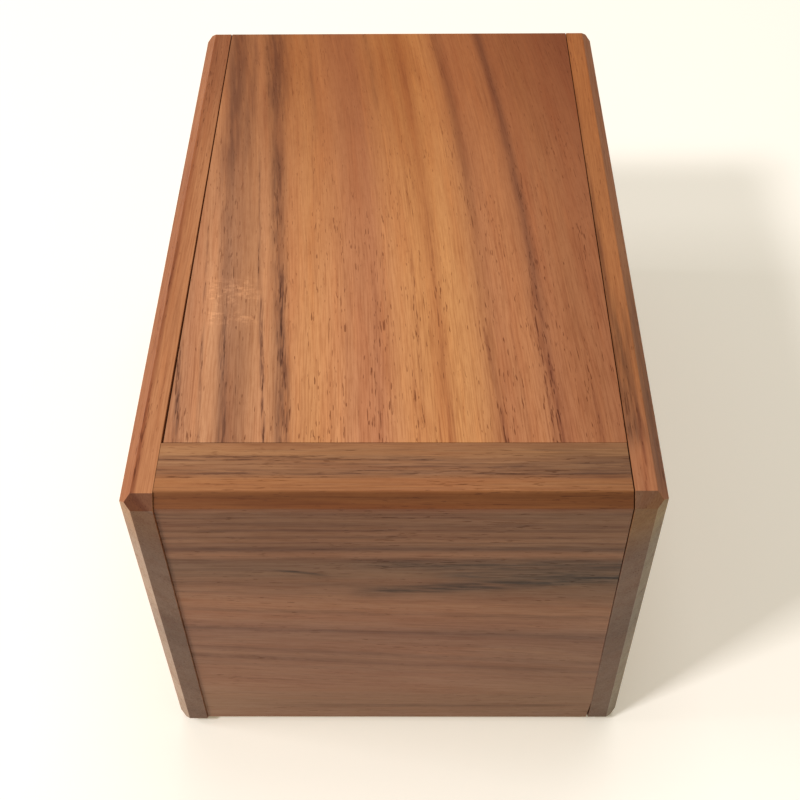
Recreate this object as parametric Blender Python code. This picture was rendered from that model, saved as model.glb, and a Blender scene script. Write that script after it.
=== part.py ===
# Hardwood puzzle box: a bottom, a back and an inner wall doweled between two full side panels.
# The thick front board covers the lid's front end and rises on splines, and the lid covers
# the back board and runs back on splines. A hidden bar can pin both the lid and the front.
# Units are metres, +Z is up, the front faces -Y, the origin is at the middle of the base.

import bpy
import bmesh
from mathutils import Vector

# Overall size of the box
BOX_WIDTH = 0.0990
BOX_LENGTH = 0.1527
BOX_HEIGHT = 0.0838
EDGE_CHAMFER = 0.0023
LEFT_PANEL_PROUD = 0.0005

# Thickness of each board
SIDE_THICKNESS = 0.00635
FRONT_THICKNESS = 0.0134
LID_THICKNESS = 0.0095
BACK_THICKNESS = 0.0095
BOTTOM_THICKNESS = 0.0095
WALL_THICKNESS = 0.0100

# Clearances
FIT_GAP = 0.0003
LID_LEFT_GAP = 0.0002
LID_LEFT_TAPER = 0.00025
LID_RIGHT_GAP = 0.0002
FRONT_LEFT_GAP = 0.0002
FRONT_RIGHT_GAP = 0.0004
FRONT_LEAN = 0.0002
CUT_OVERRUN = 0.0020

# How far the front board and the lock bar travel
FRONT_TRAVEL = 0.0120
BAR_TRAVEL = 0.0060

# Hardwood splines that carry the moving boards in the grooves of the side panels
SPLINE_THICKNESS = 0.0030
SPLINE_IN_BOARD = 0.0028
SPLINE_IN_PANEL = 0.0027
LID_SPLINE_SETBACK = 0.0023
FRONT_SPLINE_LENGTH = 0.0420
FRONT_SPLINE_LIFT = 0.0200

# Shaving off the lower right corner of the front board
CORNER_SHAVING_WIDTH = 0.0004
CORNER_SHAVING_HEIGHT = 0.0100

# Dowels
DOWEL_RADIUS = 0.0020
DOWEL_IN_PANEL = 0.0040
DOWEL_IN_BOARD = 0.0080
DOWEL_SIDES = 16
DOWEL_HEIGHT_SHARES = {"lower": 0.2, "upper": 0.8}
DOWEL_LENGTH_SHARES = {"front": 0.2, "rear": 0.8}

# Cleat under the front of the lid
CLEAT_LENGTH = 0.0700
CLEAT_WIDTH = 0.0060
CLEAT_HEIGHT = 0.0060
CLEAT_DOWEL_SPACING = 0.0480
CLEAT_DOWEL_IN_CLEAT = 0.0042
CLEAT_DOWEL_IN_LID = 0.0045

# Lock bar behind the top of the front board, with its pegs and guide pins
BAR_LENGTH = 0.0600
BAR_HEIGHT = 0.0078
BAR_THICKNESS = 0.0055
PEG_RADIUS = 0.0015
PEG_IN_BAR = 0.0038
LID_PEG_SPACING = 0.0460
LID_PEG_SETBACK = 0.0034
PEG_IN_LID = 0.0045
PEG_IN_FRONT = 0.0040
GUIDE_PIN_SPACING = 0.0240
GUIDE_PIN_IN_WALL = 0.0028

# Planes that the boards share. The left panel stands a little proud of the rest in front
LEFT_PANEL_FRONT_Y = -BOX_LENGTH / 2
FRONT_Y = LEFT_PANEL_FRONT_Y + LEFT_PANEL_PROUD
BACK_Y = BOX_LENGTH / 2
PANEL_FACE_X = BOX_WIDTH / 2 - SIDE_THICKNESS
FRONT_BOARD_BACK_Y = FRONT_Y + FRONT_THICKNESS
BACK_BOARD_FRONT_Y = BACK_Y - BACK_THICKNESS
LID_UNDERSIDE_Z = BOX_HEIGHT - LID_THICKNESS
LID_FRONT_Y = FRONT_BOARD_BACK_Y + FIT_GAP
CROSS_BOARD_END_X = PANEL_FACE_X - FIT_GAP
BOTTOM_FRONT_Y = FRONT_BOARD_BACK_Y + FIT_GAP
BOTTOM_BACK_Y = BACK_BOARD_FRONT_Y - FIT_GAP
WALL_FRONT_Y = FRONT_BOARD_BACK_Y + FIT_GAP
WALL_BACK_Y = WALL_FRONT_Y + WALL_THICKNESS
WALL_LOW_Z = BOTTOM_THICKNESS + FIT_GAP
WALL_TOP_Z = LID_UNDERSIDE_Z - FIT_GAP
CLEAT_FRONT_Y = WALL_BACK_Y + FIT_GAP
CLEAT_BACK_Y = CLEAT_FRONT_Y + CLEAT_WIDTH
LID_TRAVEL = BACK_BOARD_FRONT_Y - CLEAT_BACK_Y - FIT_GAP

# Place of the lock bar, which lies at the left end of its travel when it is clear
BAR_FRONT_Y = WALL_FRONT_Y + FIT_GAP
BAR_BACK_Y = BAR_FRONT_Y + BAR_THICKNESS
BAR_TOP_Z = WALL_TOP_Z - FIT_GAP
BAR_LOW_Z = BAR_TOP_Z - BAR_HEIGHT
BAR_MIDDLE_X = -BAR_TRAVEL / 2
BAR_MIDDLE_Z = BAR_TOP_Z - BAR_HEIGHT / 2
LID_PEG_Y = BAR_FRONT_Y + LID_PEG_SETBACK
PEG_SLOT_HALF = PEG_RADIUS + FIT_GAP

# Colours, roughness and metallic value of each wood and metal
FINISHES = {
    "left_panel_wood": ((0.200, 0.085, 0.042, 1), 0.42, 0),
    "right_panel_wood": ((0.180, 0.070, 0.034, 1), 0.42, 0),
    "lid_wood": ((0.235, 0.100, 0.042, 1), 0.40, 0),
    "front_wood": ((0.150, 0.070, 0.040, 1), 0.42, 0),
    "back_wood": ((0.170, 0.075, 0.038, 1), 0.45, 0),
    "bottom_wood": ((0.160, 0.070, 0.036, 1), 0.45, 0),
    "inner_wood": ((0.260, 0.135, 0.070, 1), 0.55, 0),
    "spline_wood": ((0.520, 0.340, 0.180, 1), 0.55, 0),
    "dowel_wood": ((0.600, 0.420, 0.240, 1), 0.60, 0),
    "peg_brass": ((0.700, 0.480, 0.180, 1), 0.35, 1),
}


def new_collection(name):
    """A collection in the scene."""
    collection = bpy.data.collections.new(name)
    bpy.context.scene.collection.children.link(collection)
    return collection


def new_finish(name):
    """The named wood or metal as a Principled material."""
    colour, roughness, metallic = FINISHES[name]
    finish = bpy.data.materials.new(name)
    finish.use_nodes = True
    shader = finish.node_tree.nodes["Principled BSDF"]
    shader.inputs["Base Color"].default_value = colour
    shader.inputs["Roughness"].default_value = roughness
    shader.inputs["Metallic"].default_value = metallic
    finish.diffuse_color = colour
    return finish


def keep_form(name, form, middle, collection):
    """Turns a finished bmesh into an object whose origin is at the given middle."""
    mesh = bpy.data.meshes.new(name)
    form.to_mesh(mesh)
    form.free()
    piece = bpy.data.objects.new(name, mesh)
    piece.location = middle
    collection.objects.link(piece)
    return piece


def block(name, low, high, collection):
    """A squared piece between two corners."""
    low = Vector(low)
    high = Vector(high)
    form = bmesh.new()
    bmesh.ops.create_cube(form, size=1)
    bmesh.ops.scale(form, vec=high - low, verts=form.verts)
    return keep_form(name, form, (low + high) / 2, collection)


def rod(name, start, end, radius, collection):
    """A round dowel or pin between the middles of its two ends."""
    start = Vector(start)
    end = Vector(end)
    run = end - start
    form = bmesh.new()
    bmesh.ops.create_cone(
        form, cap_ends=True, segments=DOWEL_SIDES, radius1=radius, radius2=radius, depth=run.length
    )
    turn = run.to_track_quat("Z", "Y").to_matrix()
    bmesh.ops.rotate(form, verts=form.verts, matrix=turn)
    piece = keep_form(name, form, (start + end) / 2, collection)
    piece.data.shade_smooth()
    piece.data.set_sharp_from_angle()
    return piece


def chamfered_box(name, front_y, collection):
    """The outside of the whole box, with all twelve edges planed flat at 45 degrees."""
    half = Vector((BOX_WIDTH, BACK_Y - front_y, BOX_HEIGHT)) / 2
    form = bmesh.new()
    bmesh.ops.create_cube(form, size=1)
    bmesh.ops.scale(form, vec=2 * half, verts=form.verts)
    for first, second in ((0, 1), (0, 2), (1, 2)):
        for first_sign in (-1, 1):
            for second_sign in (-1, 1):
                normal = Vector((0, 0, 0))
                normal[first] = first_sign
                normal[second] = second_sign
                on_plane = Vector((0, 0, 0))
                on_plane[first] = first_sign * (half[first] - EDGE_CHAMFER)
                on_plane[second] = second_sign * half[second]
                everything = form.verts[:] + form.edges[:] + form.faces[:]
                cut = bmesh.ops.bisect_plane(
                    form, geom=everything, plane_co=on_plane, plane_no=normal, clear_outer=True
                )
                rim = [item for item in cut["geom_cut"] if isinstance(item, bmesh.types.BMEdge)]
                bmesh.ops.contextual_create(form, geom=rim)
    bmesh.ops.recalc_face_normals(form, faces=form.faces)
    return keep_form(name, form, (0, (front_y + BACK_Y) / 2, BOX_HEIGHT / 2), collection)


def make_cutter(cutter):
    """Marks a shape as one that only cuts others."""
    cutter.hide_render = True
    cutter.display_type = "WIRE"
    return cutter


def shape_with(piece, cutter, operation="DIFFERENCE"):
    """Cuts the piece with the cutter, or trims it to the cutter's inside."""
    boolean = piece.modifiers.new(cutter.name, "BOOLEAN")
    boolean.operation = operation
    boolean.object = cutter
    boolean.solver = "EXACT"


def cut_block(pieces, name, low, high):
    """Cuts one squared recess into each of the pieces."""
    cutter = make_cutter(block(name, low, high, cutters))
    for piece in pieces:
        shape_with(piece, cutter)


def cut_bore(pieces, name, start, end, radius):
    """Drills one round bore into each of the pieces."""
    cutter = make_cutter(rod(name, start, end, radius, cutters))
    for piece in pieces:
        shape_with(piece, cutter)


def finish_piece(piece, finish_name, carrier=None):
    """Gives the piece its finish, and parents a moving piece to its carrier."""
    piece.data.materials.append(finishes[finish_name])
    if carrier:
        piece.parent = carrier
        piece.location -= carrier.location
    return piece


def new_carrier(name, location):
    """An empty that stands on the line along which a moving part slides."""
    carrier = bpy.data.objects.new(name, None)
    carrier.empty_display_size = EDGE_CHAMFER
    carrier.location = location
    parts.objects.link(carrier)
    return carrier


def spline(name, side, edge_x, low, high, board, panel, travel, carrier):
    """A spline let into the edge of a board and running in a groove of a side panel.

    low and high give its ends in Y and Z at rest, and travel is how far it moves (Y, Z).
    """
    inner_x = edge_x - SPLINE_IN_BOARD
    outer_x = PANEL_FACE_X + SPLINE_IN_PANEL
    xs = sorted((side * inner_x, side * outer_x))
    piece = block(name, (xs[0], low[0], low[1]), (xs[1], high[0], high[1]), parts)
    slot_xs = sorted((side * (inner_x - FIT_GAP), side * (edge_x + CUT_OVERRUN)))
    cut_block(
        [board],
        name + "_slot",
        (slot_xs[0], low[0] - FIT_GAP, low[1] - FIT_GAP),
        (slot_xs[1], high[0] + FIT_GAP, high[1] + FIT_GAP),
    )
    groove_xs = sorted((side * (PANEL_FACE_X - CUT_OVERRUN), side * (outer_x + FIT_GAP)))
    groove_low = [low[n] + min(0, travel[n]) - FIT_GAP for n in (0, 1)]
    groove_high = [high[n] + max(0, travel[n]) + FIT_GAP for n in (0, 1)]
    cut_block([panel], name + "_groove", (groove_xs[0], *groove_low), (groove_xs[1], *groove_high))
    return finish_piece(piece, "spline_wood", carrier)


def side_dowels(joint_name, places, board):
    """Four blind dowels that fix a cross board between the two side panels.

    places gives the Y and Z of each dowel of a side, by its name.
    """
    for side, side_name, panel in sides:
        for place_name, (y, z) in places.items():
            name = f"{joint_name}_dowel_{side_name}_{place_name}"
            start = (side * (CROSS_BOARD_END_X - DOWEL_IN_BOARD), y, z)
            end = (side * (PANEL_FACE_X + DOWEL_IN_PANEL), y, z)
            dowel = rod(name, start, end, DOWEL_RADIUS, parts)
            bore_start = (side * (CROSS_BOARD_END_X - DOWEL_IN_BOARD - FIT_GAP), y, z)
            bore_end = (side * (PANEL_FACE_X + DOWEL_IN_PANEL + FIT_GAP), y, z)
            cut_bore([board, panel], name + "_bore", bore_start, bore_end, DOWEL_RADIUS + FIT_GAP)
            finish_piece(dowel, "dowel_wood")


for old in list(bpy.data.objects):
    bpy.data.objects.remove(old)

parts = new_collection("puzzle_box")
cutters = new_collection("cutters")
finishes = {name: new_finish(name) for name in FINISHES}
outside = make_cutter(chamfered_box("outside", FRONT_Y, cutters))
left_outside = make_cutter(chamfered_box("left_outside", LEFT_PANEL_FRONT_Y, cutters))

# Side panels, the full length and height of the box
left_side_panel = block(
    "left_side_panel",
    (-BOX_WIDTH / 2 - CUT_OVERRUN, LEFT_PANEL_FRONT_Y - CUT_OVERRUN, -CUT_OVERRUN),
    (-PANEL_FACE_X, BACK_Y + CUT_OVERRUN, BOX_HEIGHT + CUT_OVERRUN),
    parts,
)
shape_with(left_side_panel, left_outside, "INTERSECT")
finish_piece(left_side_panel, "left_panel_wood")

right_side_panel = block(
    "right_side_panel",
    (PANEL_FACE_X, FRONT_Y - CUT_OVERRUN, -CUT_OVERRUN),
    (BOX_WIDTH / 2 + CUT_OVERRUN, BACK_Y + CUT_OVERRUN, BOX_HEIGHT + CUT_OVERRUN),
    parts,
)
shape_with(right_side_panel, outside, "INTERSECT")
finish_piece(right_side_panel, "right_panel_wood")

sides = ((-1, "left", left_side_panel), (1, "right", right_side_panel))

# Back board, doweled between the panels under the lid
back_board = block(
    "back_board",
    (-CROSS_BOARD_END_X, BACK_BOARD_FRONT_Y, -CUT_OVERRUN),
    (CROSS_BOARD_END_X, BACK_Y + CUT_OVERRUN, WALL_TOP_Z),
    parts,
)
shape_with(back_board, outside, "INTERSECT")
finish_piece(back_board, "back_wood")
back_middle_y = BACK_Y - BACK_THICKNESS / 2
back_dowel_places = {
    level: (back_middle_y, share * WALL_TOP_Z) for level, share in DOWEL_HEIGHT_SHARES.items()
}
side_dowels("back", back_dowel_places, back_board)

# Bottom board, doweled between the panels behind the front board
bottom_board = block(
    "bottom_board",
    (-CROSS_BOARD_END_X, BOTTOM_FRONT_Y, 0),
    (CROSS_BOARD_END_X, BOTTOM_BACK_Y, BOTTOM_THICKNESS),
    parts,
)
finish_piece(bottom_board, "bottom_wood")
bottom_length = BOTTOM_BACK_Y - BOTTOM_FRONT_Y
bottom_dowel_places = {
    end: (BOTTOM_FRONT_Y + share * bottom_length, BOTTOM_THICKNESS / 2)
    for end, share in DOWEL_LENGTH_SHARES.items()
}
side_dowels("bottom", bottom_dowel_places, bottom_board)

# Inner front wall of the compartment, rebated at its front top edge for the lock bar
inner_front_wall = block(
    "inner_front_wall",
    (-CROSS_BOARD_END_X, WALL_FRONT_Y, WALL_LOW_Z),
    (CROSS_BOARD_END_X, WALL_BACK_Y, WALL_TOP_Z),
    parts,
)
finish_piece(inner_front_wall, "inner_wood")
cut_block(
    [inner_front_wall],
    "bar_rebate",
    (-BOX_WIDTH / 2, WALL_FRONT_Y - CUT_OVERRUN, BAR_LOW_Z - FIT_GAP),
    (BOX_WIDTH / 2, BAR_BACK_Y + FIT_GAP, WALL_TOP_Z + CUT_OVERRUN),
)
wall_middle_y = WALL_FRONT_Y + WALL_THICKNESS / 2
wall_height = WALL_TOP_Z - WALL_LOW_Z
wall_dowel_places = {
    level: (wall_middle_y, WALL_LOW_Z + share * wall_height)
    for level, share in DOWEL_HEIGHT_SHARES.items()
}
side_dowels("wall", wall_dowel_places, inner_front_wall)

# Lid, run back in the panels' top grooves until its cleat meets the back board
lid_carrier = new_carrier("lid_carrier", (0, LID_FRONT_Y, BOX_HEIGHT - LID_THICKNESS / 2))
lid_left_x = PANEL_FACE_X - LID_LEFT_GAP
lid_right_x = PANEL_FACE_X - LID_RIGHT_GAP
lid_board = block(
    "lid_board",
    (-lid_left_x, LID_FRONT_Y, LID_UNDERSIDE_Z),
    (lid_right_x, BACK_Y + CUT_OVERRUN, BOX_HEIGHT + CUT_OVERRUN),
    parts,
)
for corner in lid_board.data.vertices:
    if corner.co.x < 0 and corner.co.y < 0:
        corner.co.x += LID_LEFT_TAPER
shape_with(lid_board, outside, "INTERSECT")
finish_piece(lid_board, "lid_wood", lid_carrier)
for side, side_name, panel in sides:
    lid_edge_x = lid_left_x - LID_LEFT_TAPER if side < 0 else lid_right_x
    spline_middle_z = BOX_HEIGHT - LID_THICKNESS / 2
    spline(
        f"lid_spline_{side_name}",
        side,
        lid_edge_x,
        (LID_FRONT_Y + LID_SPLINE_SETBACK, spline_middle_z - SPLINE_THICKNESS / 2),
        (BACK_Y, spline_middle_z + SPLINE_THICKNESS / 2),
        lid_board,
        panel,
        (LID_TRAVEL, 0),
        lid_carrier,
    )

# Cleat under the front of the lid, which stiffens it and is its stop
lid_cleat = block(
    "lid_cleat",
    (-CLEAT_LENGTH / 2, CLEAT_FRONT_Y, WALL_TOP_Z - CLEAT_HEIGHT),
    (CLEAT_LENGTH / 2, CLEAT_BACK_Y, WALL_TOP_Z),
    parts,
)
finish_piece(lid_cleat, "inner_wood", lid_carrier)
for side, side_name, panel in sides:
    dowel_x = side * CLEAT_DOWEL_SPACING / 2
    dowel_y = (CLEAT_FRONT_Y + CLEAT_BACK_Y) / 2
    dowel_low_z = WALL_TOP_Z - CLEAT_DOWEL_IN_CLEAT
    dowel_top_z = LID_UNDERSIDE_Z + CLEAT_DOWEL_IN_LID
    cleat_dowel = rod(
        f"cleat_dowel_{side_name}",
        (dowel_x, dowel_y, dowel_low_z),
        (dowel_x, dowel_y, dowel_top_z),
        DOWEL_RADIUS,
        parts,
    )
    cut_bore(
        [lid_cleat, lid_board],
        f"cleat_dowel_{side_name}_bore",
        (dowel_x, dowel_y, dowel_low_z - FIT_GAP),
        (dowel_x, dowel_y, dowel_top_z + FIT_GAP),
        DOWEL_RADIUS + FIT_GAP,
    )
    finish_piece(cleat_dowel, "dowel_wood", lid_carrier)

# Front board, the full height of the box, which rises between the panels and leans a little
front_carrier = new_carrier("front_carrier", (0, FRONT_Y + FRONT_THICKNESS / 2, 0))
front_left_x = PANEL_FACE_X - FRONT_LEFT_GAP
front_right_x = PANEL_FACE_X - FRONT_RIGHT_GAP
front_board = block(
    "front_board",
    (-front_left_x, FRONT_Y - CUT_OVERRUN, -CUT_OVERRUN),
    (front_right_x, FRONT_BOARD_BACK_Y, BOX_HEIGHT + CUT_OVERRUN),
    parts,
)
for corner in front_board.data.vertices:
    if corner.co.z < 0:
        corner.co.x += FRONT_LEAN
shape_with(front_board, outside, "INTERSECT")
corner_shaving = make_cutter(
    block(
        "corner_shaving",
        (front_right_x + FRONT_LEAN, FRONT_Y - CUT_OVERRUN, -CORNER_SHAVING_HEIGHT),
        (PANEL_FACE_X + CUT_OVERRUN, FRONT_BOARD_BACK_Y + CUT_OVERRUN, CORNER_SHAVING_HEIGHT),
        cutters,
    )
)
for corner in corner_shaving.data.vertices:
    if corner.co.x < 0 and corner.co.z < 0:
        corner.co.x -= 2 * CORNER_SHAVING_WIDTH
shape_with(front_board, corner_shaving)
finish_piece(front_board, "front_wood", front_carrier)
for side, side_name, panel in sides:
    front_spline_y = FRONT_Y + FRONT_THICKNESS / 2
    front_spline_low_z = FRONT_SPLINE_LIFT
    spline(
        f"front_spline_{side_name}",
        side,
        front_left_x if side < 0 else front_right_x,
        (front_spline_y - SPLINE_THICKNESS / 2, front_spline_low_z),
        (front_spline_y + SPLINE_THICKNESS / 2, front_spline_low_z + FRONT_SPLINE_LENGTH),
        front_board,
        panel,
        (0, FRONT_TRAVEL),
        front_carrier,
    )

# Lock bar in the rebate of the inner wall, shown clear, at the left end of its travel
bar_carrier = new_carrier("bar_carrier", (BAR_MIDDLE_X, (BAR_FRONT_Y + BAR_BACK_Y) / 2, BAR_MIDDLE_Z))
lock_bar = block(
    "lock_bar",
    (BAR_MIDDLE_X - BAR_LENGTH / 2, BAR_FRONT_Y, BAR_LOW_Z),
    (BAR_MIDDLE_X + BAR_LENGTH / 2, BAR_BACK_Y, BAR_TOP_Z),
    parts,
)
finish_piece(lock_bar, "spline_wood", bar_carrier)

# Guide pins, fixed in the inner wall, that hold the bar down and stop it at each end
for side, side_name, panel in sides:
    pin_x = side * GUIDE_PIN_SPACING / 2
    pin_back_y = BAR_BACK_Y + FIT_GAP + GUIDE_PIN_IN_WALL
    guide_pin = rod(
        f"bar_guide_pin_{side_name}",
        (pin_x, BAR_FRONT_Y + FIT_GAP, BAR_MIDDLE_Z),
        (pin_x, pin_back_y, BAR_MIDDLE_Z),
        PEG_RADIUS,
        parts,
    )
    cut_bore(
        [inner_front_wall],
        f"guide_pin_{side_name}_bore",
        (pin_x, WALL_FRONT_Y, BAR_MIDDLE_Z),
        (pin_x, pin_back_y + FIT_GAP, BAR_MIDDLE_Z),
        PEG_SLOT_HALF,
    )
    cut_block(
        [lock_bar],
        f"guide_slot_{side_name}",
        (pin_x - BAR_TRAVEL - PEG_SLOT_HALF, BAR_FRONT_Y - CUT_OVERRUN, BAR_MIDDLE_Z - PEG_SLOT_HALF),
        (pin_x + PEG_SLOT_HALF, BAR_BACK_Y + CUT_OVERRUN, BAR_MIDDLE_Z + PEG_SLOT_HALF),
    )
    finish_piece(guide_pin, "peg_brass")

# Two upright pegs on the bar, each in a slot of the lid that turns aside at its end
for side, side_name, panel in sides:
    peg_x = BAR_MIDDLE_X + side * LID_PEG_SPACING / 2
    peg_low_z = BAR_TOP_Z - PEG_IN_BAR
    peg_top_z = LID_UNDERSIDE_Z + PEG_IN_LID
    lid_lock_peg = rod(
        f"lid_lock_peg_{side_name}",
        (peg_x, LID_PEG_Y, peg_low_z),
        (peg_x, LID_PEG_Y, peg_top_z),
        PEG_RADIUS,
        parts,
    )
    cut_bore(
        [lock_bar],
        f"lid_lock_peg_{side_name}_bore",
        (peg_x, LID_PEG_Y, peg_low_z - FIT_GAP),
        (peg_x, LID_PEG_Y, BAR_TOP_Z + CUT_OVERRUN),
        PEG_SLOT_HALF,
    )
    cut_block(
        [lid_board],
        f"lid_slot_run_{side_name}",
        (peg_x - PEG_SLOT_HALF, LID_FRONT_Y - CUT_OVERRUN, LID_UNDERSIDE_Z - CUT_OVERRUN),
        (peg_x + PEG_SLOT_HALF, LID_PEG_Y + PEG_SLOT_HALF, peg_top_z + FIT_GAP),
    )
    cut_block(
        [lid_board],
        f"lid_slot_turn_{side_name}",
        (peg_x - PEG_SLOT_HALF, LID_PEG_Y - PEG_SLOT_HALF, LID_UNDERSIDE_Z - CUT_OVERRUN),
        (peg_x + BAR_TRAVEL + PEG_SLOT_HALF, LID_PEG_Y + PEG_SLOT_HALF, peg_top_z + FIT_GAP),
    )
    finish_piece(lid_lock_peg, "peg_brass", bar_carrier)

# Peg on the front of the bar, in a slot of the front board that turns aside at both ends
front_peg_tip_y = FRONT_BOARD_BACK_Y - PEG_IN_FRONT
front_lock_peg = rod(
    "front_lock_peg",
    (BAR_MIDDLE_X, front_peg_tip_y, BAR_MIDDLE_Z),
    (BAR_MIDDLE_X, BAR_FRONT_Y + PEG_IN_BAR, BAR_MIDDLE_Z),
    PEG_RADIUS,
    parts,
)
cut_bore(
    [lock_bar],
    "front_lock_peg_bore",
    (BAR_MIDDLE_X, BAR_FRONT_Y - CUT_OVERRUN, BAR_MIDDLE_Z),
    (BAR_MIDDLE_X, BAR_FRONT_Y + PEG_IN_BAR + FIT_GAP, BAR_MIDDLE_Z),
    PEG_SLOT_HALF,
)
cut_block(
    [front_board],
    "front_slot_run",
    (BAR_MIDDLE_X - PEG_SLOT_HALF, front_peg_tip_y - FIT_GAP, BAR_MIDDLE_Z - FRONT_TRAVEL - PEG_SLOT_HALF),
    (BAR_MIDDLE_X + PEG_SLOT_HALF, FRONT_BOARD_BACK_Y + CUT_OVERRUN, BAR_MIDDLE_Z + PEG_SLOT_HALF),
)
front_slot_end_x = BAR_MIDDLE_X + BAR_TRAVEL + PEG_SLOT_HALF
for level_name, level_z in (("closed", BAR_MIDDLE_Z), ("raised", BAR_MIDDLE_Z - FRONT_TRAVEL)):
    cut_block(
        [front_board],
        f"front_slot_{level_name}",
        (BAR_MIDDLE_X - PEG_SLOT_HALF, front_peg_tip_y - FIT_GAP, level_z - PEG_SLOT_HALF),
        (front_slot_end_x, FRONT_BOARD_BACK_Y + CUT_OVERRUN, level_z + PEG_SLOT_HALF),
    )
finish_piece(front_lock_peg, "peg_brass", bar_carrier)
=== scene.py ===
# Puzzle box of oiled hardwood: two side panels with the bottom, back and inner wall doweled
# between them, a lid that slides back, a front board that rises and a hidden lock bar.

import math

import bmesh
import bpy
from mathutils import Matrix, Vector


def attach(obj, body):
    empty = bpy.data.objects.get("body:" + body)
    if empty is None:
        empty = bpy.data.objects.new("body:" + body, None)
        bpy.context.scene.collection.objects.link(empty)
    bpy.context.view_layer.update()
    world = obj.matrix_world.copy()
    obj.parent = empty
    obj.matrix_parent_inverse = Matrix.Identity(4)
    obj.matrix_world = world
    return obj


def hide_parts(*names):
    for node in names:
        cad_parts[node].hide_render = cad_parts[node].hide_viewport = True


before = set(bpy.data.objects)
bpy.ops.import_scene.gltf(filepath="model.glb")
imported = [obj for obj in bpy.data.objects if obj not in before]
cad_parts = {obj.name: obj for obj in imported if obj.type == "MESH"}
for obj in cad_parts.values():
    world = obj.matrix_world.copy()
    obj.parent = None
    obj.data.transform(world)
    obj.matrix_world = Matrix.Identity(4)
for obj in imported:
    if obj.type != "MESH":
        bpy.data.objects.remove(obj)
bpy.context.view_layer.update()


# Side panels
# Two full panels of quarter inch hardwood, planed, rubbed down and oiled. Their grain runs
# along the box, and every outer edge is planed to a flat chamfer that meets the boards' own.


def tint(red, green, blue):
    """A colour from a shade card, 0 to 255, as the shader wants it."""
    parts = []
    for part in (red, green, blue):
        share = part / 255
        parts.append(share / 12.92 if share <= 0.04045 else ((share + 0.055) / 1.055) ** 2.4)
    return (*parts, 1.0)


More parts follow.
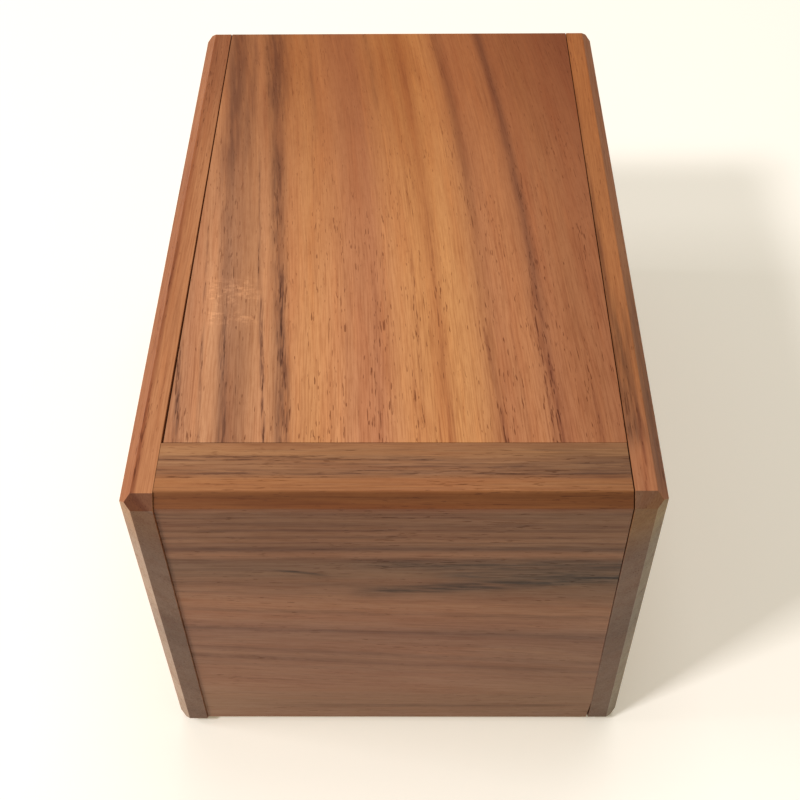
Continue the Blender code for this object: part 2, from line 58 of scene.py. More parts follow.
class Wood:
    """The wood of one board, worked out in mm from the board's own place.

    along, across and through are the axes (0 to 2) of its grain, its face and its thickness.
    Lengths along are counted from start, and seed makes it another plank of the same timber.
    """

    def __init__(self, name, along, across, through, start=0.0, seed=0.0):
        self.material = bpy.data.materials.new(name)
        self.material.use_nodes = True
        self.tree = self.material.node_tree
        self.tree.nodes.clear()
        self.seed = seed
        place = self.add("TexCoord").outputs
        in_mm = self.add("VectorMath", {0: place["Object"], "Scale": 1000.0}, operation="SCALE")
        axes = self.add("SeparateXYZ", {0: in_mm.outputs[0]}).outputs
        self.along = self.calc("SUBTRACT", axes[along], start)
        self.across = axes[across]
        self.through = axes[through]
        self.line = self.across
        self.crowd = 0.0
        self.facing = self.add("SeparateXYZ", {0: place["Normal"]}).outputs
        self.end_grain = self.fade(self.calc("ABSOLUTE", self.facing[along]), 0.35, 0.65)

    def add(self, kind, sockets=None, **settings):
        """A shader node with its settings, its sockets set or joined to other nodes."""
        node = self.tree.nodes.new("ShaderNode" + kind)
        for name, value in settings.items():
            setattr(node, name, value)
        for place, value in (sockets or {}).items():
            if isinstance(value, bpy.types.NodeSocket):
                self.tree.links.new(value, node.inputs[place])
            else:
                node.inputs[place].default_value = value
        return node

    def calc(self, operation, *values):
        """One step of arithmetic."""
        return self.add("Math", dict(enumerate(values)), operation=operation).outputs[0]

    def fade(self, value, nothing, full, low=0.0, high=1.0):
        """A smooth change from low, where the value is nothing, to high, where it is full."""
        sockets = {0: value, 1: nothing, 2: full, 3: low, 4: high}
        return self.add("MapRange", sockets, interpolation_type="SMOOTHSTEP").outputs[0]

    def place(self, length, width, seed):
        """The point in the wood, counted in patches of one length and width."""
        steps = {
            0: self.calc("DIVIDE", self.along, length),
            1: self.calc("DIVIDE", self.line, width),
            2: self.calc("MULTIPLY_ADD", self.through, 1 / width, self.seed * 7.3 + seed * 3.1),
        }
        return self.add("CombineXYZ", steps).outputs[0]

    def grain(self, length, width, seed, detail=2.0, roughness=0.5):
        """Cloudy noise, 0 to 1, drawn out along the grain in patches of that size."""
        sockets = {
            "Vector": self.place(length, width, seed),
            "Scale": 1.0,
            "Detail": detail,
            "Roughness": roughness,
        }
        return self.add("TexNoise", sockets, noise_dimensions="3D").outputs[0]

    def lean(self, amount, wander=0.8):
        """Moves the figure sideways by amount, and lets its lines wander a little in mm."""
        self.line = self.calc("ADD", self.line, amount)
        drift = self.calc("SUBTRACT", self.grain(70.0, 26.0, 1), 0.5)
        ripple = self.calc("SUBTRACT", self.grain(22.0, 5.0, 2), 0.5)
        moved = self.calc("MULTIPLY_ADD", drift, 2 * wander, self.line)
        self.line = self.calc("MULTIPLY_ADD", ripple, wander * 0.7, moved)
        self.crowd = self.fade(self.grain(26.0, 3.5, 15), 0.35, 0.70, -0.03, 0.07)

    def bands(self, stops):
        """The broad bands of colour across the figure, as (place in mm, colour)."""
        first = stops[0][0]
        width = stops[-1][0] - first
        share = self.calc("DIVIDE", self.calc("SUBTRACT", self.line, first), width)
        ramp = self.add("ValToRGB", {0: share})
        elements = ramp.color_ramp.elements
        elements[0].color = stops[0][1]
        elements[1].color = stops[-1][1]
        for place, colour in stops[1:-1]:
            elements.new((place - first) / width).color = colour
        self.colour = ramp.outputs[0]

    def lay(self, mask, colour):
        """Stains the wood with a colour where the mask is 1."""
        sockets = {0: mask, 6: self.colour, 7: colour}
        mix = self.add("Mix", sockets, data_type="RGBA", blend_type="MULTIPLY")
        self.colour = mix.outputs[2]

    def streak(self, middle, half_width, fades, strength=1.0, slope=0.0):
        """One streak on the line at middle, as a mask.

        fades gives where along the board it starts, is full, starts to go and is gone.
        """
        offset = self.calc("SUBTRACT", self.line, middle)
        if slope:
            run = self.calc("SUBTRACT", self.along, fades[1])
            offset = self.calc("MULTIPLY_ADD", run, -slope, offset)
        mask = self.fade(self.calc("ABSOLUTE", offset), half_width, 0.0, 0.0, strength)
        mask = self.calc("MULTIPLY", mask, self.fade(self.along, fades[0], fades[1]))
        return self.calc("MULTIPLY", mask, self.fade(self.along, fades[3], fades[2]))

    def streaks(self, table, colour, held_pores=0.0, broken=0.0):
        """Lays streaks of one colour.

        held_pores is how thickly open pores lie in them, and broken is how much of them is
        made of short dark strokes.
        """
        total = self.streak(*table[0])
        for row in table[1:]:
            total = self.calc("MAXIMUM", total, self.streak(*row))
        uneven = self.fade(self.grain(13.0, 1.1, 5), 0.30, 0.60, 0.4, 1.0)
        total = self.calc("MULTIPLY", total, uneven)
        if broken:
            strokes = self.grain(7.0, 0.5, 22, 2.0, 0.65)
            total = self.calc("MULTIPLY", total, self.fade(strokes, 0.42, 0.55, 1.0 - broken, 1.0))
        total = self.calc("MULTIPLY", total, self.fade(self.end_grain, 0.0, 1.0, 1.0, 0.35))
        self.lay(total, colour)
        self.crowd = self.calc("MULTIPLY_ADD", total, held_pores, self.crowd)

    def pores(self, length, width, seed, share):
        """Open pores, cut along as fine dark lines, as a mask. They crowd in the streaks."""
        cloud = self.calc("ADD", self.grain(length, width, seed, 1.0), self.crowd)
        return self.fade(cloud, share, share + 0.07)

    def at_front(self, mask):
        """A mask with only its part near the front of the box left."""
        return self.calc("MULTIPLY", mask, self.fade(self.along, 50.0, 20.0))

    def chamfer(self, one, other):
        """The chamfers between the faces across those two axes, near the front, as a mask."""
        both = self.calc("MULTIPLY", self.facing[one], self.facing[other])
        return self.at_front(self.fade(self.calc("ABSOLUTE", both), 0.35, 0.48))

    def finish(self, figure=1.0, sharpness=1.0, gloss=0.45):
        """The fine figure, the pores and the oiled surface that all boards share.

        figure is how strong the bands and flecks are, sharpness how crisp the pores and
        fibres, and gloss the roughness of the oiled surface.
        """
        strand_shade = (0.83, 0.77, 0.72, 1.0)
        pore_shade = (0.52, 0.43, 0.38, 1.0)
        end_grain_shade = (0.62, 0.64, 0.68, 1.0)
        pore_depth = 0.00006
        cloud = self.fade(self.grain(55.0, 9.0, 11), 0.30, 0.72, 0.0, figure)
        self.lay(cloud, (0.90, 0.86, 0.82, 1.0))
        broad = self.fade(self.grain(38.0, 2.6, 10, 3.0), 0.42, 0.72, 0.0, 0.8 * figure)
        self.lay(broad, (0.92, 0.82, 0.76, 1.0))
        patchy = self.fade(self.grain(24.0, 6.0, 18), 0.35, 0.65)
        fine = self.fade(self.grain(30.0, 0.8, 12, 3.0, 0.65), 0.46, 0.74, 0.0, 0.8 * figure)
        self.lay(self.calc("MULTIPLY", fine, patchy), (0.80, 0.72, 0.66, 1.0))
        threads = self.fade(self.grain(60.0, 0.45, 20, 2.0, 0.6), 0.56, 0.72, 0.0, 0.7 * figure)
        self.lay(self.calc("MULTIPLY", threads, patchy), (0.78, 0.71, 0.66, 1.0))
        light = self.fade(self.grain(22.0, 1.2, 13), 0.50, 0.75, 0.0, 0.6 * figure)
        self.lay(light, (1.14, 1.14, 1.10, 1.0))
        mottle = self.fade(self.grain(2.4, 0.8, 19, 2.0, 0.7), 0.42, 0.72, 0.0, 0.8)
        self.lay(mottle, (0.93, 0.90, 0.87, 1.0))
        fibre = self.grain(9.0, 0.34, 14, 2.0, 0.6)
        strands = self.calc("MULTIPLY", self.fade(fibre, 0.40, 0.68), sharpness)
        self.lay(strands, strand_shade)
        short = self.pores(2.8, 0.32, 17, 0.70)
        marks = self.calc("MAXIMUM", short, self.pores(8.0, 0.40, 16, 0.75))
        self.lay(self.calc("MULTIPLY", marks, sharpness), pore_shade)
        self.lay(self.end_grain, end_grain_shade)
        satin = self.fade(fibre, 0.3, 0.7, gloss - 0.04, gloss + 0.08)
        dull = self.calc("MULTIPLY_ADD", marks, 0.2, satin)
        relief = self.calc("MULTIPLY_ADD", marks, -1.0, self.calc("MULTIPLY", fibre, 0.35))
        bump = self.add("Bump", {"Strength": 0.3, "Distance": pore_depth, "Height": relief})
        sockets = {
            "Base Color": self.colour,
            "Roughness": dull,
            "Specular IOR Level": 0.22,
            "Normal": bump.outputs[0],
        }
        self.add("OutputMaterial", {0: self.add("BsdfPrincipled", sockets).outputs[0]})
        return self.material


def eased_board(node, name, body, material, trued=(), softening=0.00006):
    """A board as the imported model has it, with its outer edges softened by sandpaper.

    trued says which stretches of its edge are planed to their neighbour's, as (lowest and
    highest corner of the stretch, axis, place on that axis).
    """
    same_corner = 0.000001
    flat_within = math.radians(0.5)
    sharp_from = math.radians(30)
    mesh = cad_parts[node].data.copy()
    mesh.materials.clear()
    mesh.materials.append(material)
    board = bpy.data.objects.new(name, mesh)
    bpy.context.scene.collection.objects.link(board)
    bpy.ops.object.select_all(action="DESELECT")
    bpy.context.view_layer.objects.active = board
    board.select_set(True)
    bpy.ops.object.mode_set(mode="EDIT")
    bpy.ops.mesh.select_mode(type="VERT")
    bpy.ops.mesh.select_all(action="SELECT")
    bpy.ops.mesh.remove_doubles(threshold=same_corner)
    bpy.ops.mesh.dissolve_limited(angle_limit=flat_within)
    form = bmesh.from_edit_mesh(mesh)
    for low, high, axis, place in trued:
        for corner in form.verts:
            corner.select = all(low[n] <= corner.co[n] <= high[n] for n in range(3))
        bmesh.update_edit_mesh(mesh)
        flat = [1.0, 1.0, 1.0]
        flat[axis] = 0.0
        centre = [0.0, 0.0, 0.0]
        centre[axis] = place
        bpy.ops.transform.resize(value=flat, center_override=centre)
    bpy.ops.mesh.select_mode(type="EDGE")
    form = bmesh.from_edit_mesh(mesh)
    for edge in form.edges:
        edge.select = edge.is_convex and edge.calc_face_angle(0) > sharp_from
    bmesh.update_edit_mesh(mesh)
    bpy.ops.mesh.bevel(
        offset=softening,
        segments=2,
        affect="EDGES",
        clamp_overlap=True,
        loop_slide=False,
    )
    bpy.ops.object.mode_set(mode="OBJECT")
    bpy.ops.object.shade_flat()
    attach(board, body)
    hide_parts(node)


# Distance from the middle of the box to the plane of its front, in mm
front_plane = -76.1

left_wood = Wood("left_panel_wood", 1, 2, 0, front_plane, 1)
left_wood.line = left_wood.calc("MULTIPLY_ADD", left_wood.through, 0.9, left_wood.across)
left_wood.lean(0.0, 0.6)
left_wood.bands([
    (-46.0, tint(162, 111, 78)),
    (-30.0, tint(172, 118, 83)),
    (-20.0, tint(166, 113, 79)),
    (-2.0, tint(154, 105, 74)),
    (10.0, tint(170, 116, 81)),
    (26.0, tint(160, 108, 75)),
    (36.0, tint(164, 103, 62)),
    (40.6, tint(168, 104, 62)),
    (41.6, tint(164, 102, 66)),
    (42.4, tint(187, 126, 85)),
    (46.0, tint(190, 129, 87)),
])
left_wood.streaks(
    [
        (41.5, 0.7, (-10, 4, 60, 90), 0.9),
        (43.8, 0.6, (10, 20, 50, 70), 0.4),
        (31.0, 1.0, (-10, 10, 130, 180), 0.6),
        (24.5, 0.8, (20, 50, 170, 180), 0.5),
        (20.0, 2.2, (-10, 0, 170, 180), 0.7),
        (9.5, 1.2, (-10, 0, 90, 130), 0.6),
        (4.0, 2.6, (-10, 0, 170, 180), 0.9, 0.02),
        (-3.5, 0.9, (30, 60, 170, 180), 0.7),
        (-14.0, 1.8, (-10, 0, 170, 180), 0.6, -0.02),
        (-24.0, 1.2, (-10, 0, 110, 160), 0.7),
        (-35.0, 2.0, (-10, 0, 170, 180), 0.5),
    ],
    (0.66, 0.52, 0.46, 1.0),
    0.09,
)
left_flat = left_wood.fade(left_wood.line, 41.0, 42.5)
left_back = left_wood.calc("MULTIPLY", left_wood.fade(left_wood.along, 90.0, 140.0), left_flat)
left_wood.lay(left_back, (0.69, 0.61, 0.59, 1.0))
# Painted shade: the chamfers between the top and the front end are darkened, as the oiled wood there
# reflects nothing bright
left_wood.lay(left_wood.chamfer(1, 2), (0.71, 0.48, 0.41, 1.0))
# Painted highlight: the upright chamfer at the front corner is made much paler, as a sheen of the
# light from the side
left_wood.lay(left_wood.chamfer(0, 1), (2.15, 2.5, 2.7, 1.0))
# Painted shade: the front end is made greyer and bluer than its end grain, as it stands in shade
left_wood.lay(left_wood.at_front(left_wood.end_grain), (0.88, 1.17, 1.49, 1.0))
left_finish = left_wood.finish(1.0, 0.9)
eased_board("left_side_panel", "left_panel", "carcass", left_finish)

right_wood = Wood("right_panel_wood", 1, 2, 0, front_plane, 2)
right_wood.line = right_wood.calc("MULTIPLY_ADD", right_wood.through, -0.9, right_wood.across)
right_wood.lean(0.0, 0.6)
right_wood.bands([
    (-46.0, tint(156, 107, 76)),
    (-26.0, tint(166, 114, 81)),
    (-12.0, tint(160, 109, 78)),
    (2.0, tint(150, 103, 74)),
    (16.0, tint(164, 112, 80)),
    (26.0, tint(156, 105, 74)),
    (37.0, tint(176, 112, 61)),
    (40.6, tint(176, 111, 60)),
    (41.4, tint(172, 109, 63)),
    (43.4, tint(175, 112, 65)),
    (46.0, tint(168, 106, 62)),
])
right_wood.streaks(
    [
        (43.8, 4.4, (9, 17, 40, 60), 1.0),
        (45.0, 1.6, (36, 50, 76, 104), 0.8),
        (38.6, 4.0, (0, 10, 44, 70), 0.7),
        (44.9, 0.7, (80, 90, 120, 140), 0.4),
        (29.0, 0.8, (-10, 10, 150, 180), 0.4),
        (20.0, 2.4, (-10, 0, 170, 180), 0.45, 0.02),
        (12.0, 0.8, (10, 40, 170, 180), 0.4),
        (-2.0, 2.8, (-10, 0, 170, 180), 0.55),
        (-9.0, 0.9, (-10, 0, 120, 160), 0.45),
        (-21.0, 1.6, (-10, 0, 170, 180), 0.35, 0.02),
        (-33.0, 1.2, (-10, 0, 170, 180), 0.4),
    ],
    (0.44, 0.42, 0.44, 1.0),
    0.03,
)
right_wood.streaks(
    [
        (43.0, 1.2, (-6, 3, 7, 12), 0.5),
        (42.3, 0.5, (6, 10, 20, 26), 0.8),
    ],
    (0.60, 0.46, 0.40, 1.0),
    0.14,
)
right_wood.lay(right_wood.fade(right_wood.along, 34.0, 6.0), (0.98, 1.04, 1.36, 1.0))
right_wood.lay(right_wood.fade(right_wood.along, 84.0, 130.0), (0.95, 0.86, 0.72, 1.0))
# Painted shade: the chamfers between the top and the front end are darkened and made bluer, as the
# oiled wood there reflects nothing bright
right_wood.lay(right_wood.chamfer(1, 2), (0.89, 0.85, 1.14, 1.0))
# Painted highlight: the upright chamfer at the front corner is made much paler, as a sheen of the
# bright room beside it
right_wood.lay(right_wood.chamfer(0, 1), (1.72, 2.15, 2.0, 1.0))
# Painted shade: the front end is made greyer than its end grain, as it stands in shade
right_wood.lay(right_wood.at_front(right_wood.end_grain), (0.86, 1.11, 1.03, 1.0))
right_finish = right_wood.finish(1.0, 0.8)
eased_board("right_side_panel", "right_panel", "carcass", right_finish)


# Back board
# A board of the same hardwood between the panels under the lid, its grain across the box.
# It is doweled and glued into both panels.

back_wood = Wood("back_wood", 0, 2, 1, 0.0, 3)
back_wood.lean(0.0, 1.6)
back_wood.bands([
    (0.0, tint(160, 113, 82)),
    (14.0, tint(170, 121, 88)),
    (23.0, tint(152, 107, 78)),
    (30.0, tint(172, 123, 90)),
    (47.0, tint(162, 113, 82)),
    (52.0, tint(140, 98, 72)),
    (56.0, tint(168, 119, 86)),
    (74.0, tint(158, 111, 80)),
])
back_wood.streaks(
    [
        (68.0, 1.0, (-60, -50, 60, 70), 0.6),
        (62.5, 0.7, (-60, -40, 20, 50), 0.7),
        (52.0, 2.4, (-60, -50, 60, 70), 0.8, 0.02),
        (44.0, 0.8, (-20, 10, 60, 70), 0.6),
        (34.0, 1.4, (-60, -50, 60, 70), 0.5, -0.02),
        (22.5, 1.8, (-60, -50, 60, 70), 0.8),
        (9.0, 1.0, (-60, -50, 30, 60), 0.6),
    ],
    (0.60, 0.54, 0.52, 1.0),
    0.04,
    0.3,
)
eased_board("back_board", "back", "carcass", back_wood.finish())


# Bottom board
# The same hardwood again, planed flat, with its grain across the box. It is doweled and
# glued between the panels, behind the front board.

bottom_wood = Wood("bottom_wood", 0, 1, 2, 0.0, 4)
bottom_wood.lean(0.0, 2.0)
bottom_wood.bands([
    (-70.0, tint(162, 114, 82)),
    (-40.0, tint(154, 107, 77)),
    (-12.0, tint(168, 118, 85)),
    (10.0, tint(146, 101, 73)),
    (18.0, tint(164, 114, 81)),
    (48.0, tint(157, 109, 78)),
    (70.0, tint(166, 116, 83)),
])
bottom_wood.streaks(
    [
        (-48.0, 1.6, (-60, -50, 60, 70), 0.7),
        (-22.0, 1.0, (-60, -50, 20, 60), 0.6),
        (11.0, 2.6, (-60, -50, 60, 70), 0.8, 0.03),
        (37.0, 1.4, (-60, -50, 60, 70), 0.6),
    ],
    (0.62, 0.56, 0.53, 1.0),
    0.04,
    0.3,
)
eased_board("bottom_board", "bottom", "carcass", bottom_wood.finish())


# Inner front wall
# A plain planed board behind the front board that closes the compartment. Its front top edge
# is rebated for the lock bar. It is left without oil.

inner_wood = Wood("inner_wood", 0, 2, 1, 0.0, 5)
inner_wood.lean(0.0, 1.2)
inner_wood.bands([
    (0.0, tint(196, 152, 112)),
    (30.0, tint(188, 142, 102)),
    (50.0, tint(200, 156, 116)),
    (80.0, tint(190, 146, 106)),
])
inner_finish = inner_wood.finish(0.8, 0.8, 0.62)
eased_board("inner_front_wall", "inner_wall", "carcass", inner_finish)


# Dowels
# Turned pale hardwood pins that hold the cross boards between the panels and the cleat
# under the lid.

dowel_wood = Wood("dowel_wood", 0, 2, 1, 0.0, 6)
dowel_wood.lean(0.0, 0.4)
dowel_wood.bands([(0.0, tint(214, 182, 140)), (80.0, tint(206, 172, 130))])
dowel_finish = dowel_wood.finish(0.6, 0.5, 0.66)


def dress(piece, finish):
    """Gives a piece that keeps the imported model's shape its finish."""
    piece.data.materials.clear()
    piece.data.materials.append(finish)


for node_name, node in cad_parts.items():
    if "dowel" in node_name:
        dress(node, dowel_finish)


# Lid
# The best plank of the box, with its grain along it. It runs back on two splines, and its
# figure leans to the right towards the front.

lid_wood = Wood("lid_wood", 1, 0, 2, front_plane, 7)
lid_start = 14.0
lid_length = 136.0
from_lid_end = lid_wood.calc("SUBTRACT", lid_wood.along, lid_start)
back_share = lid_wood.calc("DIVIDE", from_lid_end, lid_length)
back_cube = lid_wood.calc("POWER", lid_wood.calc("MAXIMUM", back_share, 0.0), 3.0)
lid_lean = lid_wood.calc("MULTIPLY_ADD", back_share, 7.0, lid_wood.calc("MULTIPLY", back_cube, 4.5))
lid_wood.lean(lid_lean, 0.35)
lid_wood.bands([
    (-44.0, tint(184, 129, 94)),
    (-40.0, tint(188, 132, 97)),
    (-37.5, tint(200, 143, 104)),
    (-35.5, tint(204, 147, 107)),
    (-34.0, tint(192, 136, 98)),
    (-32.5, tint(170, 120, 89)),
    (-30.0, tint(178, 125, 90)),
    (-27.0, tint(190, 135, 96)),
    (-25.0, tint(199, 140, 99)),
    (-23.5, tint(193, 136, 95)),
    (-21.5, tint(178, 123, 86)),
    (-19.5, tint(202, 140, 94)),
    (-15.0, tint(206, 144, 94)),
    (-10.0, tint(202, 139, 93)),
    (-7.0, tint(193, 130, 89)),
    (-2.0, tint(189, 125, 86)),
    (0.5, tint(199, 136, 90)),
    (3.0, tint(206, 143, 92)),
    (8.0, tint(204, 141, 87)),
    (10.5, tint(188, 123, 73)),
    (12.5, tint(206, 144, 89)),
    (15.6, tint(208, 147, 93)),
    (17.8, tint(199, 138, 88)),
    (20.4, tint(177, 116, 74)),
    (22.0, tint(182, 120, 79)),
    (27.0, tint(188, 125, 81)),
    (29.8, tint(176, 115, 75)),
    (31.2, tint(162, 104, 69)),
    (33.5, tint(174, 112, 73)),
    (38.0, tint(173, 114, 74)),
    (44.0, tint(166, 106, 69)),
    (54.0, tint(152, 93, 60)),
])
# Wide soft streaks, mostly towards the back
lid_wood.streaks(
    [
        (-33.0, 4.2, (70, 105, 160, 170), 0.9, 0.085),
        (-33.8, 2.0, (40, 60, 95, 115), 0.6),
        (-22.1, 3.0, (66, 90, 140, 150), 0.6),
        (-21.4, 5.0, (100, 128, 160, 170), 1.0, 0.07),
        (-28.0, 2.6, (80, 120, 160, 170), 0.7, 0.08),
        (-29.5, 3.4, (-10, 0, 36, 52), 0.3),
        (-20.8, 2.6, (-10, 0, 46, 64), 0.4, -0.02),
        (31.5, 1.8, (44, 66, 160, 170), 0.6),
        (20.6, 2.2, (50, 100, 160, 170), 0.45),
        (-12.6, 1.0, (100, 125, 160, 170), 0.4),
        (2.6, 1.4, (104, 126, 160, 170), 0.35),
    ],
    (0.52, 0.46, 0.49, 1.0),
    0.05,
)
# Thin streaks at the front, full of open pores
lid_wood.streaks(
    [
        (-40.2, 0.9, (-10, 0, 36, 52), 1.0, -0.03),
        (-36.2, 0.7, (-10, 0, 36, 50), 0.8, -0.02),
        (-37.4, 0.5, (44, 52, 70, 82), 0.6),
        (-31.3, 1.4, (-10, 0, 38, 54), 1.0, -0.04),
        (-23.6, 0.8, (-10, 0, 44, 70), 1.0, -0.04),
        (-26.3, 0.5, (50, 62, 90, 106), 0.6),
        (-19.9, 2.2, (-10, 0, 58, 70), 1.0, -0.03),
        (-22.3, 2.2, (50, 62, 92, 110), 0.65),
    ],
    (0.40, 0.35, 0.38, 1.0),
    0.12,
    0.7,
)
lid_wood.streaks(
    [
        (29.6, 0.7, (-10, 0, 45, 62), 0.9, 0.01),
        (31.2, 0.7, (-10, 0, 42, 62), 0.9),
        (30.6, 1.4, (20, 32, 52, 66), 0.6),
        (6.0, 0.8, (-10, 0, 60, 80), 0.5),
        (4.6, 0.8, (-10, 0, 30, 40), 0.5),
        (8.3, 0.6, (60, 74, 96, 110), 0.4),
        (10.6, 0.6, (-10, 0, 70, 90), 0.5),
        (38.6, 0.8, (-10, 0, 48, 60), 0.6),
        (37.2, 0.5, (30, 38, 50, 60), 0.5),
        (-2.4, 0.8, (-10, 0, 50, 70), 0.4),
        (-0.2, 0.5, (-10, 0, 50, 120), 0.35),
        (21.6, 0.8, (-10, 0, 36, 52), 0.9, -0.05),
        (19.5, 0.6, (40, 52, 70, 90), 0.5),
        (-14.2, 0.6, (50, 60, 96, 110), 0.3),
        (-8.4, 0.6, (-10, 0, 70, 90), 0.4),
        (25.0, 0.5, (-10, 0, 50, 70), 0.3),
    ],
    (0.62, 0.50, 0.45, 1.0),
    0.12,
    0.7,
)
# A painted highlight: pale flecks on a patch of ripple figure, where the oiled surface catches the
# light
far_row_place = 54.0
near_row_place = 46.5
from_far_row = lid_wood.calc("SUBTRACT", lid_wood.along, far_row_place)
from_near_row = lid_wood.calc("SUBTRACT", lid_wood.along, near_row_place)
far_row = lid_wood.fade(lid_wood.calc("ABSOLUTE", from_far_row), 6.0, 1.0)
near_row = lid_wood.fade(lid_wood.calc("ABSOLUTE", from_near_row), 3.0, 0.5)
ripple_highlight = lid_wood.calc("MAXIMUM", far_row, near_row)
ripple_highlight = lid_wood.calc("MULTIPLY", ripple_highlight, lid_wood.fade(lid_wood.line, -24.5, -29.0))
ripple_highlight = lid_wood.calc("MULTIPLY", ripple_highlight, lid_wood.fade(lid_wood.line, -39.0, -34.0))
shimmer = lid_wood.fade(lid_wood.grain(1.1, 1.8, 21, 3.0, 0.7), 0.44, 0.66)
lid_wood.lay(lid_wood.calc("MULTIPLY", ripple_highlight, shimmer), (1.36, 1.42, 1.46, 1.0))
# Darker and warmer towards the back: partly the plank's own tone, partly painted shade where the
# oiled top shows no sheen
lid_wood.lay(lid_wood.fade(lid_wood.along, 50.0, 150.0), (0.78, 0.65, 0.52, 1.0))
lid_wood.lay(lid_wood.fade(lid_wood.line, 30.0, 44.0, 0.0, 0.5), (0.88, 0.80, 0.74, 1.0))
back_left = lid_wood.calc(
    "MULTIPLY",
    lid_wood.fade(lid_wood.along, 50.0, 130.0),
    lid_wood.fade(lid_wood.across, 8.0, -8.0),
)
back_left = lid_wood.calc("MULTIPLY", back_left, lid_wood.fade(lid_wood.across, -38.0, -28.0))
lid_wood.lay(back_left, (0.88, 0.86, 0.83, 1.0))
# Towards the back it is rubbed smoother
lid_crispness = lid_wood.fade(lid_wood.along, 140.0, 10.0, 0.45, 1.15)
lid_finish = lid_wood.finish(0.9, lid_crispness)
# The lid's front end lies close to the front board, closer on the right
lid_end_left = -0.06233
lid_end_right = -0.06241
lid_trued = [
    ((-0.0432, -0.0625, 0.0740), (0.0, -0.0620, 0.0840), 1, lid_end_left),
    ((0.0, -0.0625, 0.0740), (0.0432, -0.0620, 0.0840), 1, lid_end_right),
]
eased_board("lid_board", "lid", "lid", lid_finish, lid_trued)


# Splines and lock bar
# Pale waxed hardwood strips, planed to run freely in the grooves of the panels, and the
# bar that slides sideways behind the front board.

spline_wood = Wood("spline_wood", 1, 2, 0, 0.0, 8)
spline_wood.lean(0.0, 0.5)
spline_wood.bands([(0.0, tint(204, 166, 120)), (90.0, tint(196, 158, 112))])
spline_finish = spline_wood.finish(0.6, 0.6, 0.5)
for node_name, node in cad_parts.items():
    if "spline" in node_name:
        dress(node, spline_finish)
eased_board("lid_cleat", "cleat", "lid", inner_finish)
eased_board("lock_bar", "bar", "bar", spline_finish)


# Front board
# A thick board, the full height of the box, with its grain across. Its top edge is the
# strip in front of the lid, and its rings run back from the face into that edge.

front_wood = Wood("front_wood", 0, 2, 1, 0.0, 9)
from_front = front_wood.calc("SUBTRACT", front_wood.through, front_plane)
front_wood.line = front_wood.calc("ADD", front_wood.across, from_front)
halfway = front_wood.calc(
    "MULTIPLY",
    front_wood.fade(front_wood.across, 64.0, 48.0),
    front_wood.fade(front_wood.across, 6.0, 20.0),
)
drop = front_wood.calc("MULTIPLY_ADD", front_wood.along, 0.047, 2.0)
fall = front_wood.calc("MULTIPLY", halfway, drop)
lower = front_wood.calc(
    "MULTIPLY",
    front_wood.fade(front_wood.across, 38.0, 28.0),
    front_wood.fade(front_wood.across, 10.0, 20.0),
)
lower_drop = front_wood.calc("MULTIPLY_ADD", front_wood.along, 0.038, 1.6)
steeper = front_wood.calc("MULTIPLY", lower, lower_drop)
front_wood.lean(front_wood.calc("ADD", fall, steeper), 0.6)
front_wood.bands([
    (0.0, tint(148, 106, 80)),
    (8.0, tint(142, 102, 76)),
    (18.0, tint(154, 112, 85)),
    (27.0, tint(152, 110, 84)),
    (31.0, tint(144, 103, 78)),
    (37.0, tint(150, 108, 82)),
    (41.0, tint(138, 98, 75)),
    (45.0, tint(152, 108, 81)),
    (51.0, tint(158, 112, 83)),
    (55.0, tint(144, 104, 79)),
    (60.0, tint(134, 99, 75)),
    (64.0, tint(126, 93, 71)),
    (67.2, tint(150, 108, 81)),
    (69.0, tint(124, 88, 66)),
    (71.5, tint(144, 103, 76)),
    (76.0, tint(137, 97, 71)),
    (80.0, tint(133, 95, 70)),
    (81.2, tint(138, 95, 68)),
    # The stops on the top chamfer are darker and more orange: partly its wood, partly painted shade,
    # as it reflects nothing bright
    (81.8, tint(128, 79, 48)),
    (85.8, tint(118, 72, 41)),
    (86.6, tint(162, 107, 68)),
    (88.8, tint(164, 109, 69)),
    (90.4, tint(154, 109, 78)),
    (93.8, tint(156, 112, 80)),
    (95.4, tint(165, 117, 80)),
    (97.4, tint(155, 108, 75)),
])
# Soft dark lines that run right across the face
front_wood.streaks(
    [
        (80.1, 0.8, (-60, -50, 60, 70), 0.7),
        (79.0, 0.5, (-60, -50, 60, 70), 0.8),
        (77.2, 1.3, (-60, -50, 60, 70), 1.0, -0.01),
        (75.0, 0.8, (-60, -50, 60, 70), 1.0),
        (72.8, 0.8, (-60, -50, 60, 70), 0.9),
        (71.0, 0.5, (-60, -50, 60, 70), 0.8),
        (83.0, 0.5, (-60, -50, 60, 70), 0.4),
        (84.7, 0.6, (-60, -50, 60, 70), 0.5),
        (69.1, 1.3, (-60, -50, 60, 70), 1.0),
        (65.3, 1.4, (-60, -50, 60, 70), 1.0),
        (62.4, 0.9, (-60, -50, -30, -10), 0.6),
        (60.4, 0.9, (-60, -50, -20, 0), 0.6),
        (57.6, 1.3, (-60, -50, -10, 6), 0.6),
        (54.6, 0.9, (-60, -50, -20, -4), 0.4),
        (48.4, 1.5, (-60, -50, 60, 70), 0.7),
        (41.3, 1.1, (-60, -50, 60, 70), 0.8),
        (41.2, 2.2, (0, 14, 60, 70), 0.6),
        (37.4, 0.9, (-60, -50, 60, 70), 0.3),
        (33.5, 1.2, (-60, -50, 60, 70), 0.6),
        (30.0, 1.3, (-60, -50, 60, 70), 0.65),
        (27.2, 1.0, (-60, -50, 60, 70), 0.3),
        (8.0, 1.3, (-40, -8, 34, 46), 0.8),
        (14.0, 1.6, (-60, -50, 60, 70), 0.25),
    ],
    (0.62, 0.57, 0.54, 1.0),
    0.02,
    0.3,
)
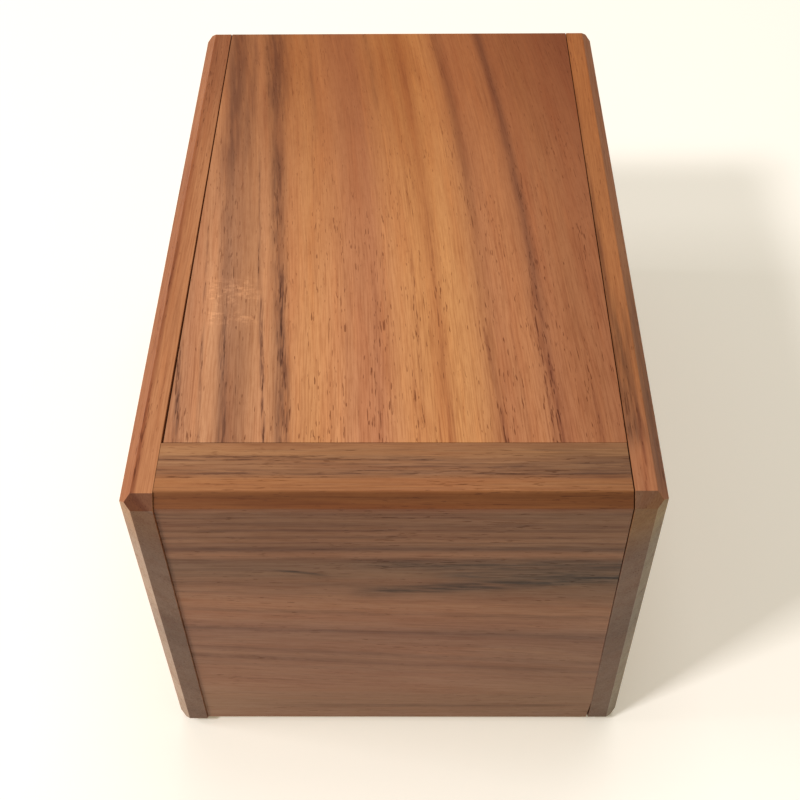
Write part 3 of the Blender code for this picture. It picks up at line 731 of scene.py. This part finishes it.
# The dark grey streaks of the right half
front_wood.streaks(
    [
        (56.2, 2.2, (-12, 0, 60, 70), 1.0, 0.10),
        (60.9, 1.5, (6, 16, 60, 70), 1.0),
        (63.5, 2.4, (-12, 4, 60, 70), 0.8),
        (61.9, 0.6, (-26, -21, -16, -12), 1.0, -0.16),
    ],
    (0.28, 0.31, 0.34, 1.0),
    0.03,
    0.45,
)
front_wood.streaks([(60.0, 7.0, (-4, 22, 60, 70), 0.8)], (0.66, 0.70, 0.72, 1.0))
# The pores of the top edge, in broken rows
front_wood.streaks(
    [
        (94.3, 0.5, (-60, -50, 0, 16), 0.9),
        (93.6, 0.5, (-60, -50, 8, 24), 0.9),
        (92.7, 0.5, (-30, -6, 60, 70), 0.9),
        (92.0, 0.6, (-14, 6, 60, 70), 0.9),
        (91.1, 0.5, (-60, -50, 60, 70), 0.8),
        (90.4, 0.6, (-60, -50, 60, 70), 1.0),
        (89.6, 0.4, (-60, -50, 60, 70), 0.6),
        (95.8, 0.5, (-40, -20, 30, 40), 0.5),
        (87.9, 0.4, (-60, -50, 60, 70), 0.4),
        (87.1, 0.3, (-60, -50, 60, 70), 0.4),
    ],
    (0.50, 0.46, 0.50, 1.0),
    0.10,
    0.7,
)
front_wood.streaks([(92.0, 4.0, (-60, -50, 60, 70), 0.5)], (0.80, 0.76, 0.80, 1.0))
front_wood.streaks([(93.4, 7.0, (14, 38, 60, 70), 1.0)], (0.60, 0.54, 0.52, 1.0))
# The shade of the face changes a little from side to side and from top to bottom
upper_half = front_wood.fade(front_wood.across, 38.0, 52.0)
front_wood.lay(upper_half, (1.0, 0.98, 0.90, 1.0))
front_wood.lay(front_wood.fade(front_wood.along, 4.0, 42.0), (0.91, 0.95, 0.94, 1.0))
upper_left = front_wood.calc("MULTIPLY", upper_half, front_wood.fade(front_wood.along, -16.0, -42.0))
front_wood.lay(upper_left, (1.10, 1.12, 1.16, 1.0))
front_wood.lay(front_wood.fade(front_wood.across, 22.0, 4.0), (1.12, 1.22, 1.24, 1.0))
lower_left = front_wood.calc(
    "MULTIPLY",
    front_wood.fade(front_wood.across, 34.0, 22.0),
    front_wood.fade(front_wood.along, -14.0, -42.0),
)
front_wood.lay(lower_left, (1.08, 1.10, 1.10, 1.0))
front_crispness = front_wood.fade(front_wood.across, 4.0, 60.0, 0.45, 0.8)
front_finish = front_wood.finish(1.0, front_crispness)
# Its ends run close to the panels, apart from the top and the shaved lower corner on the right
left_end = -0.04309
right_end = 0.04313
right_end_top = 0.04290
front_trued = [
    ((-0.0432, -0.0780, -0.0010), (-0.0425, -0.0620, 0.0850), 0, left_end),
    ((0.0425, -0.0780, 0.0700), (0.0432, -0.0620, 0.0850), 0, right_end_top),
    ((0.0425, -0.0780, 0.0090), (0.0432, -0.0620, 0.0700), 0, right_end),
]
front_softening = 0.00003
eased_board(
    "front_board",
    "front",
    "front",
    front_finish,
    front_trued,
    front_softening,
)


# Pegs and guide pins
# Plain drawn brass rod, cut to length and left bright.

brass = Wood("peg_brass", 2, 0, 1, 0.0, 10)
brass.bands([(-50.0, tint(214, 172, 98)), (50.0, tint(206, 164, 92))])
drawn = brass.grain(4.0, 0.2, 3)
brass.lay(brass.fade(drawn, 0.4, 0.8), (0.86, 0.82, 0.76, 1.0))
brass_sockets = {
    "Base Color": brass.colour,
    "Metallic": 1.0,
    "Roughness": brass.fade(drawn, 0.3, 0.7, 0.26, 0.40),
}
brass.add("OutputMaterial", {0: brass.add("BsdfPrincipled", brass_sockets).outputs[0]})
for node_name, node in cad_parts.items():
    if "pin" in node_name or "peg" in node_name:
        dress(node, brass.material)


# Floor, light and camera
# A pale table top under plain soft light, seen from above the front of the box.

bpy.ops.object.select_all(action="DESELECT")
bpy.ops.mesh.primitive_plane_add(size=6.0, location=(0, 0, 0))
floor = bpy.context.active_object
floor.name = "floor"
floor_paint = bpy.data.materials.new("table_top")
floor_paint.use_nodes = True
floor_shader = floor_paint.node_tree.nodes["Principled BSDF"]
floor_shader.inputs["Base Color"].default_value = (0.92, 0.89, 0.88, 1.0)
floor_shader.inputs["Roughness"].default_value = 0.8
floor_shader.inputs["Specular IOR Level"].default_value = 0.2
floor_paint_nodes = floor_paint.node_tree.nodes
floor_glow = floor_paint_nodes.new("ShaderNodeEmission")
floor_glow.inputs["Color"].default_value = (1.0, 0.86, 0.52, 1.0)
floor_glow.inputs["Strength"].default_value = 0.20
floor_sum = floor_paint_nodes.new("ShaderNodeAddShader")
seen = floor_paint_nodes.new("ShaderNodeLightPath")
seen_share = floor_paint_nodes.new("ShaderNodeMixShader")
link = floor_paint.node_tree.links.new
link(seen.outputs["Is Camera Ray"], seen_share.inputs[0])
link(floor_glow.outputs[0], seen_share.inputs[2])
link(floor_shader.outputs[0], floor_sum.inputs[0])
link(seen_share.outputs[0], floor_sum.inputs[1])
link(floor_sum.outputs[0], floor_paint_nodes["Material Output"].inputs[0])
floor.data.materials.append(floor_paint)


def softbox(name, place, size, power, colour):
    """A square lamp that looks at the middle of the box."""
    light = bpy.data.lights.new(name, "AREA")
    light.shape = "SQUARE"
    light.size = size
    light.energy = power
    light.color = colour
    lamp = bpy.data.objects.new(name, light)
    lamp.location = place
    aim = Vector((0, 0, 0.04)) - Vector(place)
    lamp.rotation_euler = aim.to_track_quat("-Z", "Y").to_euler()
    bpy.context.scene.collection.objects.link(lamp)


softbox("key", (-0.83, -0.55, 1.04), 0.20, 11.0, (1.0, 0.97, 0.93))
softbox("side", (-1.15, 0.00, 0.80), 0.30, 4.6, (1.0, 0.98, 0.95))
softbox("overhead", (0.10, 0.45, 1.35), 0.80, 6.0, (1.0, 0.98, 0.95))

world = bpy.data.worlds.new("room")
bpy.context.scene.world = world
world.use_nodes = True
room = world.node_tree.nodes["Background"]
room.inputs["Color"].default_value = (1.0, 0.98, 0.86, 1.0)
room.inputs["Strength"].default_value = 0.30

camera_data = bpy.data.cameras.new("camera")
camera_data.lens = 55.47
camera_data.sensor_width = 36.0
camera = bpy.data.objects.new("camera", camera_data)
camera.rotation_mode = "ZYX"
camera.rotation_euler = (math.radians(41.419), math.radians(0.551), math.radians(-0.072))
camera.location = (0.0033, -0.2071, 0.2597)
bpy.context.scene.collection.objects.link(camera)
bpy.context.scene.camera = camera
bpy.context.scene.view_settings.view_transform = "Standard"
